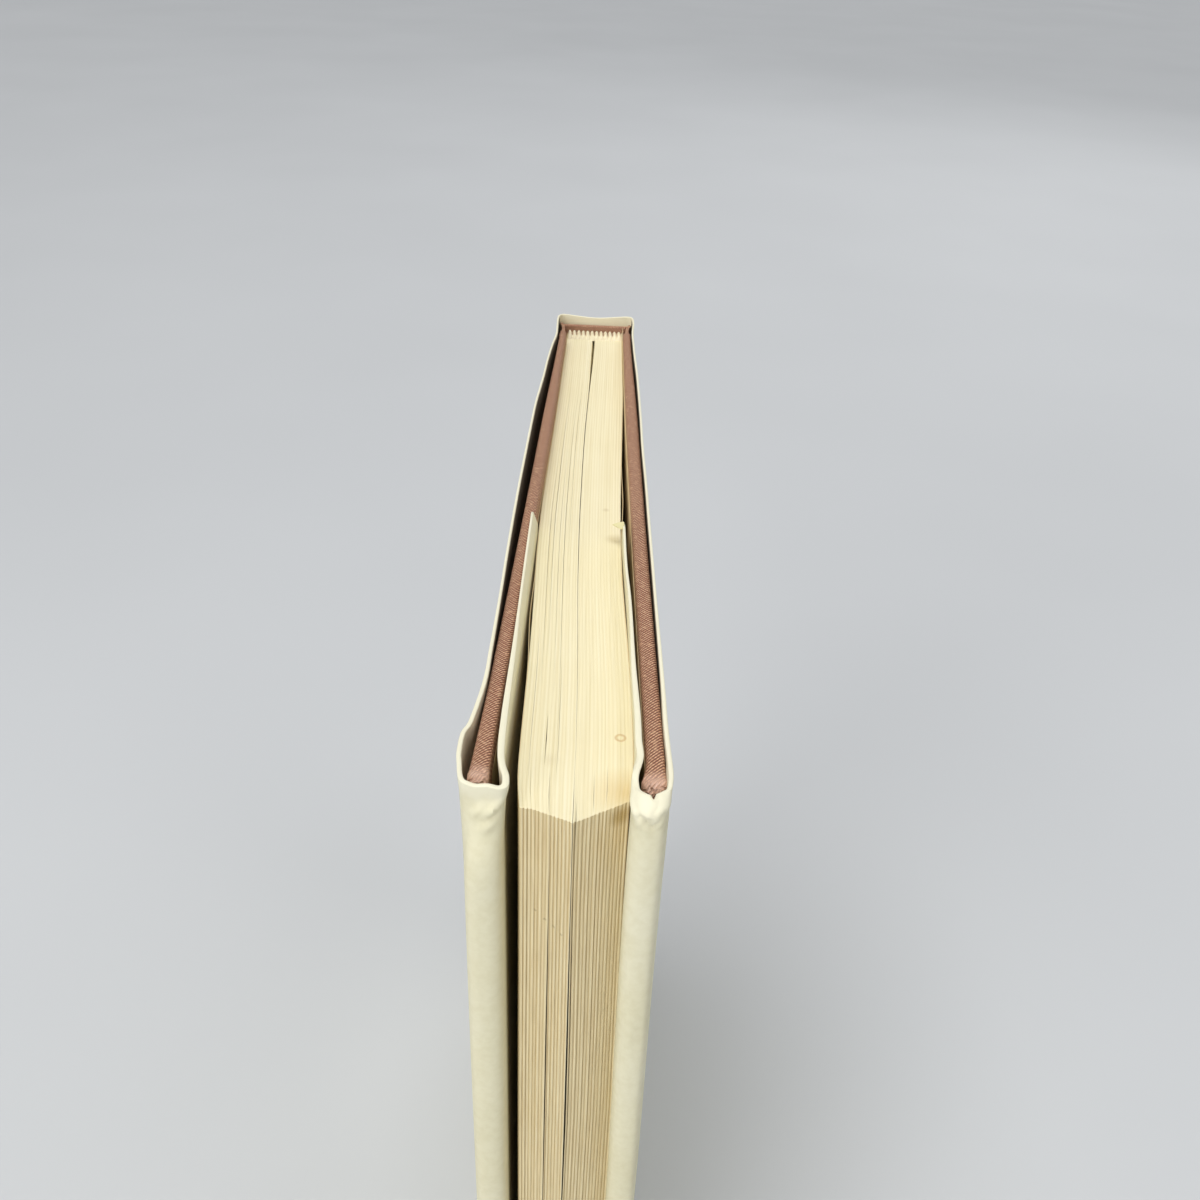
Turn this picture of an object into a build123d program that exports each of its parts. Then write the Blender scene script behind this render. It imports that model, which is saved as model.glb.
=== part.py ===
# Hardcover book in a loose paper jacket, standing on its tail edge.
#
# Millimetres. X runs through the book from the front cover (-X) to the back cover (+X), Y from the
# fore-edge (-Y) to the spine (+Y), and Z from the tail up to the head.
#
# Everything is drawn first with the middle of the leaves on X = 0 and the fore-edge corners of the leaves
# on Y = 0. Each cover is drawn shut, parallel to the leaves, and then turned about its joint by the small
# angle at which it stands open. At the end the whole book is moved so that the origin lies in the middle
# of its footprint.
from build123d import *
import math
import os

# Text block: the sewn leaves
leaf_height = 254.0          # head to tail
leaf_width = 177.0           # spine to the corners of the fore-edge
half_at_spine = 6.75         # half the thickness, nipped at the spine
half_at_fore_edge = 7.7      # half the thickness at the fore-edge
belly = 0.3                  # how much thicker than a straight taper the leaves are halfway
lean = 1.0                   # how far the leaves bow towards the front cover halfway
fore_shift = 0.6             # how far the fore-edge stands over towards the back cover
point_forward = 3.0          # how far the middle leaves stand forward of the outer ones
point_across = 0.3           # where that point lies across the thickness
section_count = 15           # folded sections sewn together
section_groove_width = 0.14
section_groove_depth = 0.35
gaping_sections = (4, 7)     # the leaves gape after these sections, counted from the front cover
slit_width = 0.22
slit_depth = 9.0

# Head and tail bands
band_radius = 0.85
band_rib = 0.12              # how far the stitched ribs stand out of the band
band_stitches = 13
band_tape = 0.2              # thickness of the tape that the bead is sewn to
band_tape_length = 12.0      # how far the tape is glued down the back
band_setback = 1.1           # from the back of the leaves to the middle of the bead

# Linings on the back of the leaves
gauze = 0.15
lining_paper = 0.2
gauze_short = 14.0           # the gauze stops this far from head and tail

# Case: boards, cloth and spine strip
board = 2.1
cloth = 0.22
cloth_edge_radius = 0.3      # outside, where the cloth folds round the sharp edge of a board
square = 3.6                 # boards past the leaves at head and tail
fore_square = 0.6            # cloth past the fore-edge corners
joint_width = 8.4            # from the board's spine edge to the back of the leaves
groove_depth = 1.5           # how far the cloth dips below the board in the joint
groove_land = 1.9            # flat bottom of the joint, on the cover's side of the hinge line
groove_slope = 1.8
groove_tail = 2.0            # the groove's cloth starts this far back along the board
groove_bend = 0.8            # radius of the cloth where it dips into the joint
cover_bend = 0.7             # and of the spine cloth, at the bottom of the joint
shoulder_bend = 0.6          # and at the shoulder beside the spine
turn_in = 15.0               # cloth folded over onto the inside of the boards
spine_strip = 0.6
spine_hollow = 0.3           # between the lining and the turned-in cloth
spine_drop = 1.0             # the spine cloth ends this far below the boards
spine_corner_radius = 0.9
spine_half = 9.2             # half the width of the spine cloth

# Endpapers
endpaper = 0.12
paste_margin = 3.5           # from the fore-edge of the board to the pasted sheet
leaf_gap = 0.06              # between the leaves and a free endpaper
leaf_sag = 0.4               # how far a free endpaper hangs away from the leaves where it gapes
front_sag_place = 39.0       # where it gapes most, from the fore-edge corners
back_sag_place = 92.0
sag_reach = 22.0             # how far it gapes to each side of that place
endpaper_short = 1.0         # it stops this far inside the fore-edge corners and the spine

# Joints
hinge_setback = 4.0          # from the back of the leaves to the hinge line
joint_slit = 0.3             # each side of the hinge line
front_flap_room = 0.72       # between the free endpaper and the cover, at the flap's free edge
back_flap_room = 1.54
cover_clear = 0.15           # between the leaves and the inside of a shut cover

# Jacket
jacket = 0.4
jacket_gap = 0.1
jacket_rise = 0.9            # the jacket stands this far above the boards
jacket_corner_radius = 1.2
fold_radius = 1.1
flap_depth = 72.0            # from the fore-edge corners of the leaves to the flap's free edge
flap_corner_radius = 3.0     # the flap's free corners are rounded by use
panel_touch = 22.0           # where the jacket's panel comes back to the board near the fore-edge
front_panel_bulge = 1.3
back_panel_bulge = 0.35
front_wrap = 3.2             # jacket past the fore-edge corners
back_wrap = 5.0
front_fold_stand = 1.9       # how far the inner fold stands off the inside of the cover
back_fold_stand = 0.65
flap_clear = 0.1             # between a flap's free edge and what it leans on: cover or endpaper

# Places that follow from the sizes
board_height = leaf_height + 2 * square
jacket_height = board_height + jacket_rise
cover_inside = half_at_spine + endpaper + cover_clear
cover_outside = cover_inside + endpaper + cloth + board + cloth
hinge_x = cover_outside + jacket_gap + jacket + jacket_gap
hinge_y = leaf_width - hinge_setback
board_spine_edge = leaf_width - joint_width
back_of_lining = leaf_width + gauze + lining_paper
strip_inside = back_of_lining + spine_hollow + cloth
case_back = strip_inside + spine_strip + cloth
groove_outside = cover_outside - groove_depth
jacket_line = cover_outside + jacket_gap + jacket / 2
strip_half = spine_half - cloth / 2 - spine_corner_radius
leaf_steps = 12
leaf_stations = [step / leaf_steps for step in range(leaf_steps + 1)]


def leaf_side(side, share):
    """A point on the outermost leaf: side -1 is the front, share 0 the fore-edge and 1 the spine."""
    swell = math.sin(math.pi * share) ** 2
    half = half_at_fore_edge + (half_at_spine - half_at_fore_edge) * share + belly * swell
    return (side * half - lean * swell + fore_shift * (1 - share), leaf_width * share)


def gape(station, sag_place):
    """How far a free endpaper hangs away from the leaves at a distance from the fore-edge corners."""
    away = min(1.0, abs(station - sag_place) / sag_reach)
    return leaf_gap + leaf_sag * math.cos(math.pi / 2 * away) ** 2


def cover_angle(side, flap_room, sag_place):
    """The angle in degrees at which a cover leaves that room for the free edge of its flap."""
    leaf_face = side * leaf_side(side, flap_depth / leaf_width)[0] + gape(flap_depth, sag_place) + endpaper
    return math.degrees(math.asin((leaf_face + flap_room - cover_inside) / (hinge_y - flap_depth)))


def block_slab(x_low, x_high, y_low, y_high, z_low, z_high):
    """A rectangular block between two corners."""
    size = (x_high - x_low, y_high - y_low, z_high - z_low)
    middle = ((x_low + x_high) / 2, (y_low + y_high) / 2, (z_low + z_high) / 2)
    return Pos(*middle) * Box(*size)


def sheet(edges, thickness, z_low, z_high):
    """A sheet of even thickness standing on the given line in plan."""
    outline = Wire(edges).offset_2d(thickness / 2, side=Side.BOTH)
    return Pos(0, 0, z_low) * extrude(Face(outline), amount=z_high - z_low)


def fore_edge_points():
    """The chevron of the fore-edge, back to front cover, with a groove between the sections."""
    right = Vector(*leaf_side(1, 0.0))
    left = Vector(*leaf_side(-1, 0.0))
    tip = Vector(point_across, -point_forward)
    span = right.X - left.X

    def on_edge(x, inward):
        if x > tip.X:
            y = tip.Y + (right.Y - tip.Y) * (x - tip.X) / (right.X - tip.X)
        else:
            y = tip.Y + (left.Y - tip.Y) * (tip.X - x) / (tip.X - left.X)
        return (x, y + inward)

    points = [(right.X, right.Y)]
    for section in range(section_count - 1, 0, -1):
        x = left.X + span * section / section_count
        if section in gaping_sections:
            width, depth = slit_width, slit_depth
        else:
            width, depth = section_groove_width, section_groove_depth
        points += [on_edge(x + width / 2, 0), on_edge(x, depth), on_edge(x - width / 2, 0)]
    before_tip = [p for p in points if p[0] > tip.X]
    after_tip = [p for p in points if p[0] < tip.X]
    return before_tip + [(tip.X, tip.Y)] + after_tip + [(left.X, left.Y)]


def text_block():
    """All the leaves as one solid, bowed in plan, with a pointed and grooved fore-edge."""
    back_side = Spline([leaf_side(1, share) for share in reversed(leaf_stations)])
    fore_edge = Polyline(fore_edge_points())
    front_side = Spline([leaf_side(-1, share) for share in leaf_stations])
    spine = Line(leaf_side(-1, 1.0), leaf_side(1, 1.0))
    plan = make_face(back_side.edges() + fore_edge.edges() + front_side.edges() + spine.edges())
    return Pos(0, 0, square) * extrude(plan, amount=leaf_height)


def end_band(z_edge, up):
    """The band at one end of the spine: a ribbed bead on a tape. up is 1 at the head, -1 at the tail."""
    pitch = 2 * half_at_spine / band_stitches
    middle_y = leaf_width - band_setback
    middle_z = z_edge + up * (band_tape + band_radius)
    outline = [(-half_at_spine, 0), (-half_at_spine, band_radius)]
    for stitch in range(band_stitches):
        start = -half_at_spine + stitch * pitch
        outline += [(start + pitch / 2, band_radius + band_rib), (start + pitch, band_radius)]
    profile = make_face(Polyline(outline + [(half_at_spine, 0)], close=True))
    bead = Pos(0, middle_y, middle_z) * revolve(profile, Axis.X)
    ledge_low, ledge_high = sorted((z_edge, z_edge + up * 2 * band_tape))
    ledge = block_slab(-half_at_spine, half_at_spine, middle_y, leaf_width + band_tape,
                       ledge_low, ledge_high)
    skirt_low, skirt_high = sorted((z_edge - up * band_tape_length, z_edge + up * 2 * band_tape))
    skirt = block_slab(-half_at_spine, half_at_spine, leaf_width, leaf_width + band_tape,
                       skirt_low, skirt_high)
    return bead + ledge + skirt


def free_endpaper(side, sag_place):
    """The loose half of the endpaper, gaping a little from the leaves around one place."""
    stations = [leaf_width * share for share in leaf_stations[1:-1]]
    stations += [endpaper_short, leaf_width - endpaper_short]
    stations += [sag_place - sag_reach, sag_place, sag_place + sag_reach]
    near, far = [], []
    for station in sorted(stations):
        x, y = leaf_side(side, station / leaf_width)
        gap = gape(station, sag_place)
        near.append((x + side * gap, y))
        far.append((x + side * (gap + endpaper), y))
    edges = [Line(near[0], far[0]).edge(), Line(near[-1], far[-1]).edge()]
    plan = make_face(Spline(near).edges() + Spline(far).edges() + edges)
    return Pos(0, 0, square) * extrude(plan, amount=leaf_height)


def turned_cover(solid, side, angle):
    """A shut cover's piece, turned about its joint to where the cover stands."""
    return solid.rotate(Axis((side * hinge_x, hinge_y, 0), (0, 0, 1)), side * angle)


def cover_board(side):
    """The stiff board of one cover."""
    x_near = cover_inside + endpaper + cloth
    slab = block_slab(x_near, x_near + board, cloth - fore_square, board_spine_edge,
                      cloth, board_height - cloth)
    return slab if side > 0 else mirror(slab, Plane.YZ)


def cover_cloth(side):
    """The cloth over one board, turned in at head, tail and fore-edge, with its half of the groove."""
    x_near = cover_inside + endpaper
    wrap = block_slab(x_near, cover_outside, -fore_square, board_spine_edge + cloth, 0, board_height)
    rounded = [edge for edge in wrap.edges()
               if edge.center().Y < board_spine_edge or edge.center().X > (x_near + cover_outside) / 2]
    wrap = fillet(rounded, cloth_edge_radius)
    pocket = block_slab(x_near + cloth, cover_outside - cloth, cloth - fore_square,
                        board_spine_edge + 2 * cloth, cloth, board_height - cloth)
    window = block_slab(x_near - cloth, x_near + 2 * cloth, turn_in - fore_square,
                        board_spine_edge + 2 * cloth, turn_in, board_height - turn_in)
    line = cover_outside - cloth / 2
    groove_line = FilletPolyline(
        (line, board_spine_edge - groove_tail),
        (line, board_spine_edge + cloth),
        (groove_outside - cloth / 2, board_spine_edge + groove_slope),
        (groove_outside - cloth / 2, hinge_y - joint_slit),
        radius=groove_bend)
    groove = sheet(groove_line.edges(), cloth, spine_drop, board_height - spine_drop)
    piece = wrap - pocket - window + groove
    return piece if side > 0 else mirror(piece, Plane.YZ)


def pastedown(side):
    """The half of the endpaper glued inside the board: over the turned-in cloth, and down onto the board."""
    y_low, y_high = paste_margin - fore_square, board_spine_edge
    z_low, z_high = square, square + leaf_height
    y_window, z_window = turn_in - fore_square, turn_in
    over_cloth = block_slab(cover_inside, cover_inside + endpaper, y_low, y_high, z_low, z_high)
    step = block_slab(cover_inside, cover_inside + endpaper + cloth, y_window, y_high,
                      z_window, board_height - z_window)
    dish = block_slab(cover_inside - endpaper, cover_inside + cloth, y_window + endpaper, y_high + endpaper,
                      z_window + endpaper, board_height - z_window - endpaper)
    piece = over_cloth + step - dish
    return piece if side > 0 else mirror(piece, Plane.YZ)


def cover_jacket(side, bulge, wrap, fold_stand, flap_stand):
    """The jacket over one cover: the panel outside, the wrap round the fore-edge and the flap inside."""
    wrap_line = jacket / 2 - wrap
    panel_middle = (hinge_y + panel_touch) / 2
    panel = ThreePointArc((jacket_line, hinge_y - joint_slit), (jacket_line + bulge, panel_middle),
                          (jacket_line, panel_touch))
    folds = FilletPolyline(
        (jacket_line, panel_touch),
        (jacket_line + jacket / 2, wrap_line),
        (cover_inside - fold_stand, wrap_line),
        (cover_inside - flap_stand, flap_depth),
        radius=fold_radius)
    piece = sheet(panel.edges() + folds.edges(), jacket, 0, jacket_height)
    reach = flap_depth + jacket / 2
    for z_corner, up in ((jacket_height, 1), (0, -1)):
        z_low, z_high = sorted((z_corner, z_corner - up * flap_corner_radius))
        corner = block_slab(cover_inside - fold_stand - jacket, cover_inside - jacket_gap / 2,
                            reach - flap_corner_radius, reach + jacket, z_low, z_high)
        round_end = Pos(cover_inside, reach - flap_corner_radius, z_corner - up * flap_corner_radius)
        round_end *= Rot(0, 90, 0) * Cylinder(flap_corner_radius, 4 * (fold_stand + jacket))
        piece -= corner - round_end
    return piece if side > 0 else mirror(piece, Plane.YZ)


def spine_line(half, back, front, radius):
    """A line in plan down one side of the spine, across its back and up the other side."""
    return FilletPolyline((-half, front), (-half, back), (half, back), (half, front), radius=radius)


def spine_cloth():
    """The cloth over the spine strip, dipping into both joints and turned in at head and tail."""
    z_low, z_high = spine_drop, board_height - spine_drop
    back_line = case_back - cloth / 2
    half = spine_half - cloth / 2
    dip = groove_outside - cloth / 2
    line = FilletPolyline(
        (-dip, hinge_y + joint_slit),
        (-dip, hinge_y + groove_land),
        (-half, hinge_y + groove_land + groove_slope),
        (-half, back_line),
        (half, back_line),
        (half, hinge_y + groove_land + groove_slope),
        (dip, hinge_y + groove_land),
        (dip, hinge_y + joint_slit),
        radius=(cover_bend, shoulder_bend, spine_corner_radius,
                spine_corner_radius, shoulder_bend, cover_bend))
    piece = sheet(line.edges(), cloth, z_low, z_high)
    for z_edge, up in ((z_high, 1), (z_low, -1)):
        cap_low, cap_high = sorted((z_edge, z_edge - up * cloth))
        piece += block_slab(-strip_half, strip_half, strip_inside - cloth, case_back - cloth / 2,
                            cap_low, cap_high)
        fold_low, fold_high = sorted((z_edge, z_edge - up * turn_in))
        piece += block_slab(-strip_half, strip_half, strip_inside - cloth, strip_inside, fold_low, fold_high)
    return piece


def spine_inlay():
    """The stiff strip inside the spine cloth."""
    return block_slab(-strip_half, strip_half, strip_inside, case_back - cloth, spine_drop + cloth,
                      board_height - spine_drop - cloth)


def back_lining(thickness, start, short):
    """A layer glued over the back of the leaves."""
    return block_slab(-half_at_spine, half_at_spine, start, start + thickness,
                      square + short, square + leaf_height - short)


def jacket_spine():
    """The jacket over the spine, from one joint to the other."""
    back_line = case_back + jacket_gap + jacket / 2
    line = spine_line(spine_half + jacket_gap + jacket / 2, back_line, hinge_y + joint_slit,
                      jacket_corner_radius)
    return sheet(line.edges(), jacket, 0, jacket_height)


def book():
    """Every piece by name, with the leaves' middle on X = 0."""
    pieces = {
        "text_block": text_block(),
        "head_band": end_band(square + leaf_height, 1),
        "tail_band": end_band(square, -1),
        "spine_gauze": back_lining(gauze, leaf_width, gauze_short),
        "spine_lining": back_lining(lining_paper, leaf_width + gauze, gauze_short),
        "spine_strip": spine_inlay(),
        "spine_cloth": spine_cloth(),
        "jacket_spine": jacket_spine(),
    }
    front_flap_stand = flap_clear + jacket / 2
    back_flap_stand = back_flap_room - flap_clear - jacket / 2
    front_jacket = (front_panel_bulge, front_wrap, front_fold_stand, front_flap_stand)
    back_jacket = (back_panel_bulge, back_wrap, back_fold_stand, back_flap_stand)
    for name, side, flap_room, sag_place, jacket_shape in (
            ("front", -1, front_flap_room, front_sag_place, front_jacket),
            ("back", 1, back_flap_room, back_sag_place, back_jacket)):
        angle = cover_angle(side, flap_room, sag_place)
        pieces[name + "_free_endpaper"] = free_endpaper(side, sag_place)
        pieces[name + "_board"] = turned_cover(cover_board(side), side, angle)
        pieces[name + "_cloth"] = turned_cover(cover_cloth(side), side, angle)
        pieces[name + "_pastedown"] = turned_cover(pastedown(side), side, angle)
        pieces[name + "_jacket"] = turned_cover(cover_jacket(side, *jacket_shape), side, angle)
    return pieces


def main():
    """Build the pieces, set the origin under the middle of the book, and write one file for each."""
    os.makedirs("parts", exist_ok=True)
    pieces = book()
    whole = Compound(children=[copy for copy in (Pos(0, 0, 0) * piece for piece in pieces.values())])
    box = whole.bounding_box()
    shift = Pos(-(box.min.X + box.max.X) / 2, -(box.min.Y + box.max.Y) / 2, -box.min.Z)
    for name, piece in pieces.items():
        export_step(shift * piece, "parts/" + name + ".step")
    origin = shift.position
    print("book size", [round(value, 3) for value in box.size])
    for name, side in (("front", -1), ("back", 1)):
        print(name, "hinge at", round(side * hinge_x + origin.X, 3), round(hinge_y + origin.Y, 3))
    print("shift", round(origin.X, 4), round(origin.Y, 4), round(origin.Z, 4))


main()
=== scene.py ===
"""A hardcover book in a loose cream paper jacket, standing on its tail edge in a plain studio.

Pieces are modelled in the book's own millimetres: X runs from the front cover (-X) to the back cover (+X),
Y from the fore-edge corners of the leaves to the spine, Z from the table up to the head. One matrix puts
each finished mesh into the frame.
"""
import math
import random

import bmesh
import bpy
from mathutils import Matrix, Vector
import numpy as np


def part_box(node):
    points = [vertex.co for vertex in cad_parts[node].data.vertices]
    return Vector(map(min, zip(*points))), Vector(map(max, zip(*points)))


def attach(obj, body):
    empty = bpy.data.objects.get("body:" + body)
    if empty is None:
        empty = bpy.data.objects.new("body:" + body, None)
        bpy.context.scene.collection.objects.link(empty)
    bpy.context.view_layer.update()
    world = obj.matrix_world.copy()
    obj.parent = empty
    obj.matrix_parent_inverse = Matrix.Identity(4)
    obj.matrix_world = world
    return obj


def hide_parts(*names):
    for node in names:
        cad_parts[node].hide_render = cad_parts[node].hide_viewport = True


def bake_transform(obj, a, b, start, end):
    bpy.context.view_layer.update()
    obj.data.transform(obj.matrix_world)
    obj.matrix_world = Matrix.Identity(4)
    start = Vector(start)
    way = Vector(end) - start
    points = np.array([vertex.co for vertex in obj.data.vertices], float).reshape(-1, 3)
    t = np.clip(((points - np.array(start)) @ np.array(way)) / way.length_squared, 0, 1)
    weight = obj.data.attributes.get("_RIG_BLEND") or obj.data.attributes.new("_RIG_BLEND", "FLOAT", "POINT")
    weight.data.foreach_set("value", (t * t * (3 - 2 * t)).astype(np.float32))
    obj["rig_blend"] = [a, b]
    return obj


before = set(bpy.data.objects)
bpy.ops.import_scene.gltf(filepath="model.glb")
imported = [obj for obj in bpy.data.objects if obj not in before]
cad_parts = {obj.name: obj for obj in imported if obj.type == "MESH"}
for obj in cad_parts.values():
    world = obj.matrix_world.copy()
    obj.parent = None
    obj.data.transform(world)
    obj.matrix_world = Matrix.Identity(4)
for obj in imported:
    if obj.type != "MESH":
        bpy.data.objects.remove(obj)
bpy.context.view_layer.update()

MM = 0.001
random.seed(11)

# Places that the frame gives
block_low, block_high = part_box("text_block")
band_low, band_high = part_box("head_band")
leaf_width = 177.0
origin = Vector(((band_low.x + band_high.x) / 2, block_high.y - leaf_width * MM, 0.0))
to_frame = Matrix.Translation(origin) @ Matrix.Scale(MM, 4)
leaf_bottom = block_low.z / MM
leaf_top = block_high.z / MM
board_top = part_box("front_cloth")[1].z / MM
jacket_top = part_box("front_jacket")[1].z / MM
hinge_y = leaf_width - 4.0

# Leaves: strips are half sections, pressed round at the fore-edge
strip_count = 28
leaves_in_strip = 5
leaf_count = strip_count * leaves_in_strip
# The outermost leaves in plan: (distance from the fore-edge corners, half width on that side)
front_leaf_line = [(-0.7, 6.75), (1.8, 7.05), (4.7, 7.4), (11, 7.6), (28, 7.75), (40, 7.95), (54, 8.25),
                   (64, 8.5), (80, 8.62), (93, 8.42), (106, 8.2), (121, 7.95), (135, 7.72), (145, 7.58),
                   (160, 7.4), (168, 7.28), (177, 7.2)]
back_leaf_line = [(-0.7, 7.7), (1.3, 7.98), (5, 8.24), (12, 8.3), (24, 8.12), (36, 7.7), (49, 7.12),
                  (58, 6.8), (75, 6.6), (90, 6.68), (99, 6.75), (114, 6.92), (121, 7.0), (134, 7.12),
                  (142, 7.14), (150, 7.1), (160, 7.05), (168, 7.0), (177, 7.0)]
# The fore-edge in plan: (place across the thickness, place forward or back of the corners)
chevron = [(-8.0, -0.6), (-5.3, -0.74), (0.18, -3.0), (7.5, 1.27), (8.2, 1.7)]

# Covers: cloth-covered boards that bow a little and stand open
fore_square = 0.6                        # cloth past the fore-edge corners
board_spine_edge = leaf_width - 8.4
pressed_from, pressed_over = 110.0, 55.0   # towards the joint a board is pressed thinner
cloth = 0.22
endpaper_sheet = 0.12
board_round = 0.85                       # radius of the cloth round a board's edges
turn_in = 15.0                           # cloth folded over onto the inside of the boards
jacket_paper = 0.46                      # soft from handling
hinge_x = 10.28                          # a joint's upright line, from the middle


class Cover:
    """One cover: the side it lies on, its thickness over the cloth, how it leans away from the leaves,
    and how much thinner each face gets towards the joint."""

    def __init__(self, name, side, inside, thickness, opening, warp, thin_inside, thin_outside):
        self.name = name
        self.side = side
        self.inside = inside
        self.thickness = thickness
        self.opening = opening
        self.warp = warp
        self.thin_inside = thin_inside
        self.thin_outside = thin_outside

    def x(self, depth, y):
        """X of a point that lies depth outside the inner face of the cloth, y from the fore-edge."""
        share = max(0.0, (board_spine_edge - y) / board_spine_edge)
        thin = smooth((y - pressed_from) / pressed_over)
        across = depth / self.thickness
        leaning = self.opening * share + self.warp * share ** 2
        tapered = depth + thin * mix(self.thin_inside, -self.thin_outside, across)
        return self.side * (self.inside + tapered + leaning)


def clamp(share):
    """Held between 0 and 1."""
    return min(1.0, max(0.0, share))


def smooth(share):
    """0 below 0, 1 above 1, and an even ease between."""
    share = clamp(share)
    return share * share * (3 - 2 * share)


def bump(value, middle, reach):
    """1 at the middle, easing to 0 at reach on each side."""
    return smooth(1 - abs(value - middle) / reach)


def mix(first, second, share):
    """The number that lies a share of the way from the first to the second."""
    return first + (second - first) * share


def through(knots, place):
    """The value at a place on the smooth curve through (place, value) pairs."""
    if place <= knots[0][0]:
        return knots[0][1]
    if place >= knots[-1][0]:
        return knots[-1][1]
    index = next(i for i in range(1, len(knots)) if place <= knots[i][0])

    def slope(i):
        low, high = knots[max(0, i - 1)], knots[min(len(knots) - 1, i + 1)]
        return (high[1] - low[1]) / (high[0] - low[0])

    (start, first), (end, last) = knots[index - 1], knots[index]
    span = end - start
    t = (place - start) / span
    return ((2 * t ** 3 - 3 * t ** 2 + 1) * first + (t ** 3 - 2 * t ** 2 + t) * span * slope(index - 1)
            + (3 * t ** 2 - 2 * t ** 3) * last + (t ** 3 - t ** 2) * span * slope(index))


def straight(knots, place):
    """The value at a place on the straight runs between (place, value) pairs."""
    for (start, first), (end, last) in zip(knots, knots[1:]):
        if place <= end:
            return mix(first, last, max(0.0, (place - start) / (end - start)))
    return knots[-1][1]


def even_steps(points):
    """Places from 0 to 1, one for each point."""
    return [index / (len(points) - 1) for index in range(len(points))]


def curves(knots, points):
    """One list of (place, value) pairs for each coordinate of the points."""
    return [list(zip(knots, values)) for values in zip(*points)]


FRONT = Cover("front", -1, inside=7.1, thickness=2.42, opening=2.9, warp=1.35, thin_inside=0.3,
              thin_outside=0.42)
BACK = Cover("back", 1, inside=7.05, thickness=2.65, opening=1.8, warp=1.1, thin_inside=0.15,
             thin_outside=0.5)


def block_half(side, y, z):
    """Half width of the leaves on one side. Below the head they spread at the fore-edge."""
    line, spread = (front_leaf_line, 0.25) if side < 0 else (back_leaf_line, 1.05)
    lower = smooth((250.0 - z) / 85.0) * (0.5 + 0.5 * smooth(z / 90.0))
    return through(line, y) + spread * lower * max(0.0, 1 - y / 45.0) ** 2


# Materials

def colour(text):
    """An sRGB hex colour as linear RGBA."""
    parts = [int(text[i:i + 2], 16) / 255 for i in (1, 3, 5)]
    return tuple(c / 12.92 if c <= 0.04045 else ((c + 0.055) / 1.055) ** 2.4 for c in parts) + (1.0,)


def add(tree, kind, values=None, links=None, **settings):
    """Add a shader node: settings are its properties, values and links go to inputs by name or number."""
    node = tree.nodes.new("ShaderNode" + kind)
    for key, value in settings.items():
        setattr(node, key, value)
    for key, value in (values or {}).items():
        node.inputs[key].default_value = value
    for key, source in (links or {}).items():
        tree.links.new(source, node.inputs[key])
    return node


def new_material(name, roughness, specular=0.3):
    """A material with a plain Principled surface: returns it with its tree and shader."""
    material = bpy.data.materials.new(name)
    material.use_nodes = True
    tree = material.node_tree
    tree.nodes.clear()
    shader = add(tree, "BsdfPrincipled", {"Roughness": roughness, "Specular IOR Level": specular})
    add(tree, "OutputMaterial", links={"Surface": shader.outputs["BSDF"]})
    return material, tree, shader


def ramp(tree, factor, stops):
    """A colour ramp on a factor: stops are (place, hex colour)."""
    node = add(tree, "ValToRGB", links={"Fac": factor})
    while len(node.color_ramp.elements) < len(stops):
        node.color_ramp.elements.new(0.5)
    for element, (place, text) in zip(node.color_ramp.elements, stops):
        element.position = place
        element.color = colour(text)
    return node.outputs["Color"]


def blend_colour(tree, factor, first, second, kind="MIX"):
    """Mix two colours, each a socket or a hex text, by a factor socket or number."""
    node = add(tree, "Mix", data_type="RGBA", blend_type=kind)
    for name, value in (("Factor", factor), ("A", first), ("B", second)):
        socket = next(s for s in node.inputs if s.name == name and s.enabled)
        if isinstance(value, str):
            socket.default_value = colour(value)
        elif isinstance(value, (int, float)):
            socket.default_value = value
        else:
            tree.links.new(value, socket)
    return next(s for s in node.outputs if s.enabled)


def math_node(tree, operation, first, second=0.0, clamped=False):
    """One step of arithmetic on sockets or numbers."""
    node = add(tree, "Math", operation=operation, use_clamp=clamped)
    for index, value in enumerate((first, second)):
        if isinstance(value, (int, float)):
            node.inputs[index].default_value = value
        else:
            tree.links.new(value, node.inputs[index])
    return node.outputs[0]


def tinted(tree, base, tint, mask, strength, kind="MIX"):
    """Lay a tint over a colour where the mask is, as strongly as strength says."""
    return blend_colour(tree, math_node(tree, "MULTIPLY", mask, strength), base, tint, kind)


def painted(tree, layer):
    """A number that the mesh carries at its vertices."""
    return add(tree, "Attribute", attribute_name=layer).outputs["Fac"]


def in_millimetres(tree, stretch=(1.0, 1.0, 1.0)):
    """Object coordinates in the book's millimetres, stretched."""
    place = add(tree, "TexCoord").outputs["Object"]
    node = add(tree, "Mapping", {"Scale": tuple(s / MM for s in stretch)}, {"Vector": place})
    return node.outputs["Vector"]


def sheet_millimetres(tree, turn=0.0):
    """The cloth's own flat map, whose unit is one metre, in millimetres."""
    flat = add(tree, "UVMap", uv_map="Sheet").outputs["UV"]
    node = add(tree, "Mapping", {"Scale": (1 / MM, 1 / MM, 1.0), "Rotation": (0, 0, turn)}, {"Vector": flat})
    return node.outputs["Vector"]


def noise(tree, vector, scale, detail=3.0, rough=0.55):
    """Soft noise, with scale features to a unit of the vector."""
    node = add(tree, "TexNoise", {"Scale": scale, "Detail": detail, "Roughness": rough}, {"Vector": vector})
    return node.outputs["Fac"]


def book_noise(tree, scale, detail=3.0, rough=0.55, stretch=(1.0, 1.0, 1.0)):
    """Soft noise, with scale features to a millimetre of the book, and more where an axis is stretched."""
    return noise(tree, in_millimetres(tree, stretch), scale, detail, rough)


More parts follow.
